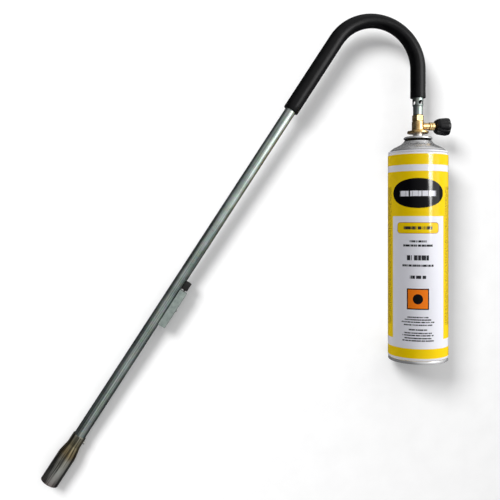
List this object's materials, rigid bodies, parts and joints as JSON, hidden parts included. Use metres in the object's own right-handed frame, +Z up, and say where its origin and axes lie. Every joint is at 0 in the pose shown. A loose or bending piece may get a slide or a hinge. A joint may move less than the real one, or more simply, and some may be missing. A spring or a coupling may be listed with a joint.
{
  "type": "gas torch",
  "caption": "Hook-shaped gas torch on a screw-on cartridge: long steel lance, sleeve grip, brass needle valve with knob, piezo igniter, burner cup.",
  "frame": {"origin": "middle of the bounding box's bottom face, on the ground the torch lies on", "axes": "+Z up; +Y along the cartridge from its base to its valve; +X towards the control knob"},
  "size_m": [0.433, 0.4922, 0.0659],
  "materials": {
    "litho_paint": "glossy yellow and white printed lacquer on tinplate",
    "tinplate": "bright drawn tinplate",
    "white_plastic": "plain moulded acetal",
    "seal_rubber": "dull nitrile rubber",
    "spring_steel": "drawn wire, bright",
    "brass": "turned and lightly polished, fine tool marks",
    "black_plastic": "fine-grained black moulding with a soft sheen",
    "galvanised_steel": "bright zinc coating, grey-green, drawn lengthwise",
    "black_rubber": "extruded black rubber, satin",
    "heat_tinted_steel": "bare steel, brown and straw heat tint, scale marks",
    "ceramic": "semi-gloss alumina",
    "zinc_sheet": "matt zinc-plated sheet",
    "lead_sheath": "dark red silicone sheath"
  },
  "bodies": {
    "torch": {"lance_tube": "galvanised_steel", "grip_sleeve": "black_rubber", "burner_cup": "heat_tinted_steel", "burner_screw": "zinc_sheet", "flame_holder": "heat_tinted_steel", "spark_electrode": "spring_steel", "electrode_insulator": "ceramic", "igniter_bracket": "zinc_sheet", "bracket_rivet": "zinc_sheet", "igniter_body": "black_plastic", "igniter_spring": "spring_steel", "ignition_lead": "lead_sheath", "valve_body": "brass", "inlet_pin": "brass", "gland_nut": "brass", "spindle_packing": "seal_rubber", "jet_nut": "brass", "gas_jet": "brass"},
    "spindle": {"needle_spindle": "brass"},
    "knob": {"control_knob": "black_plastic", "knob_screw": "spring_steel"},
    "igniter_button": {"igniter_button": "black_plastic"},
    "gasket": {"cartridge_gasket": "seal_rubber"},
    "cartridge": {"can_body": "litho_paint", "can_dome": "tinplate", "can_base": "tinplate", "valve_cup": "tinplate", "cartridge_valve_housing": "white_plastic", "cartridge_valve_stem": "white_plastic", "cartridge_seal": "seal_rubber", "cartridge_valve_spring": "spring_steel"}
  },
  "joints": [
    {"name": "spindle_travel", "type": "slide", "parent": "torch", "child": "spindle", "axis": [0.9981, 0, 0.0612], "range_m": [0, 0.00155]},
    {"name": "knob_turn", "type": "hinge", "parent": "spindle", "child": "knob", "pos_m": [0.20817, 0.12426, 0.03471], "axis": [0.9981, 0, 0.0612], "range_deg": [0, 540]},
    {"name": "igniter_press", "type": "slide", "parent": "torch", "child": "igniter_button", "axis": [-0.5436, -0.8387, -0.0333], "range_m": [0, 0.005], "stiffness_N_per_m": 1500, "springref_m": -0.004},
    {"name": "thread_travel", "type": "slide", "parent": "torch", "child": "gasket", "axis": [0, -1, 0], "range_m": [0, 0.0041]},
    {"name": "cartridge_unscrew", "type": "hinge", "parent": "gasket", "child": "cartridge", "pos_m": [0.18022, 0.10626, 0.033], "axis": [0, -1, 0], "range_deg": [0, 1620]}
  ],
  "couplings": [
    {"joint": "spindle_travel", "follows": "knob_turn", "m_per_rad": 0.00015915},
    {"joint": "thread_travel", "follows": "cartridge_unscrew", "m_per_rad": 0.00014436}
  ]
}
